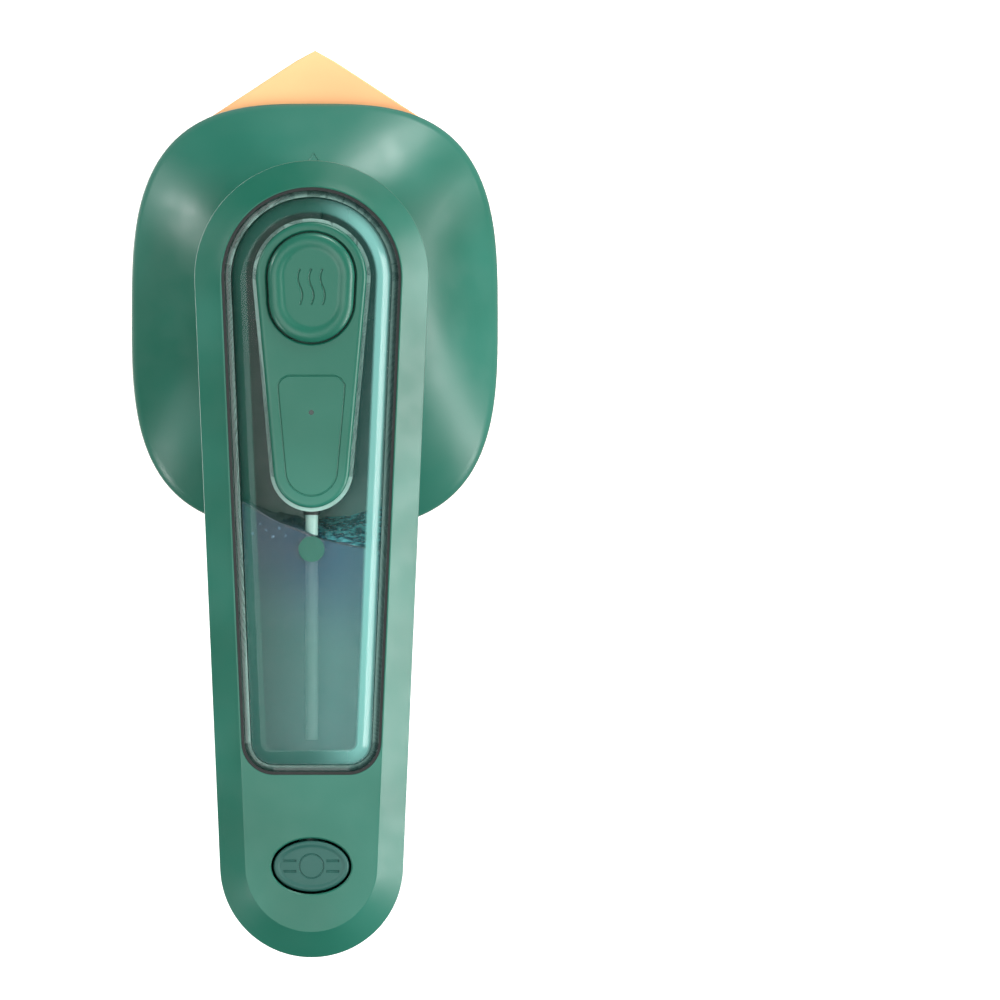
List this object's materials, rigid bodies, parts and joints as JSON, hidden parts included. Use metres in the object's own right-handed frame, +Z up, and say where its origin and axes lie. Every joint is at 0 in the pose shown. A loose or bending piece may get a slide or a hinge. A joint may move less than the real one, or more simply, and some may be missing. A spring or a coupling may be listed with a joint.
{
  "type": "handheld garment and wallpaper steamer",
  "caption": "Hand-held mini steamer with a pointed flat heated head that swivels under a long handle holding a water tank with a window, thumb steam button and filler plug.",
  "frame": {"origin": "where the swivel axis meets the sole's flat face, sole down on z = 0", "axes": "+Z up out of the back of the sole along the swivel axis, +Y towards the pointed tip, the handle lies towards -Y, +X to the right"},
  "size_m": [0.0896, 0.22, 0.0676],
  "materials": {
    "sole_copper": "satin rose-gold coating",
    "cast_metal": "bare die-cast",
    "steel": "plain",
    "heater_steel": "heat-tinted",
    "insulator": "heat-resistant, matte black",
    "green_shell": "satin emerald green",
    "gasket_black": "matte",
    "silicone_red": "matte",
    "silicone_clear": "translucent",
    "ceramic_body": "matte",
    "brass_part": "plain",
    "shield_mica": "mica sheet",
    "glass_sleeve": "braided glass fibre",
    "lead_red": "insulated wire",
    "window_clear": "clear green-tinted plastic",
    "tank_clear": "clear plastic",
    "pump_plastic": "natural",
    "board_green": "circuit board",
    "lamp_clear": "clear",
    "black_plastic": "matte black"
  },
  "bodies": {
    "head": {"soleplate": "sole_copper", "sole_gasket": "insulator", "chamber_seal": "silicone_red", "chamber_lid": "cast_metal", "lid_screws": "steel", "heater_element": "heater_steel", "heater_clips": "steel", "thermostat": "ceramic_body", "thermal_fuse": "brass_part", "heat_shield": "shield_mica", "shield_screws": "steel", "head_cover": "green_shell", "cover_screws": "steel", "friction_ring": "gasket_black", "slip_washer": "pump_plastic", "retaining_ring": "steel", "ring_screws": "steel", "water_hose": "silicone_clear", "lead_sleeve": "glass_sleeve", "head_leads": "glass_sleeve"},
    "handle": {"neck_collar": "green_shell", "rear_shell": "green_shell", "front_frame": "green_shell", "frame_screws": "steel", "shell_screws": "steel", "window_gasket": "gasket_black", "tank_cover": "window_clear", "tank_seal": "silicone_clear", "tank_body": "tank_clear", "control_island": "green_shell", "pump_barrel": "pump_plastic", "pump_cap": "pump_plastic", "pump_screws": "steel", "inlet_valve": "silicone_clear", "outlet_valve": "silicone_clear", "pump_spring": "steel", "suction_tube": "silicone_clear", "tube_clip": "green_shell", "tube_grommet": "gasket_black", "filler_neck": "tank_clear", "dc_jack": "black_plastic", "jack_pin": "brass_part", "control_pcb": "board_green", "pcb_screws": "steel", "status_led": "lamp_clear", "light_pipe": "lamp_clear", "handle_leads": "lead_red"},
    "button": {"steam_button": "green_shell", "pump_piston": "pump_plastic", "piston_seal": "gasket_black"},
    "plug": {"filler_plug": "green_shell"}
  },
  "joints": [
    {"name": "head_swivel", "type": "hinge", "parent": "head", "child": "handle", "pos_m": [0, 0, 0.0267], "axis": [0, 0, 1], "range_deg": [-90, 90]},
    {"name": "button_press", "type": "slide", "parent": "handle", "child": "button", "axis": [0, 0, -1], "range_m": [0, 0.003], "stiffness_N_per_m": 400, "springref_m": -0.003, "deforming": ["pump_spring"]},
    {"name": "plug_pull", "type": "slide", "parent": "handle", "child": "plug", "axis": [0, 0, 1], "range_m": [0, 0.03]}
  ]
}
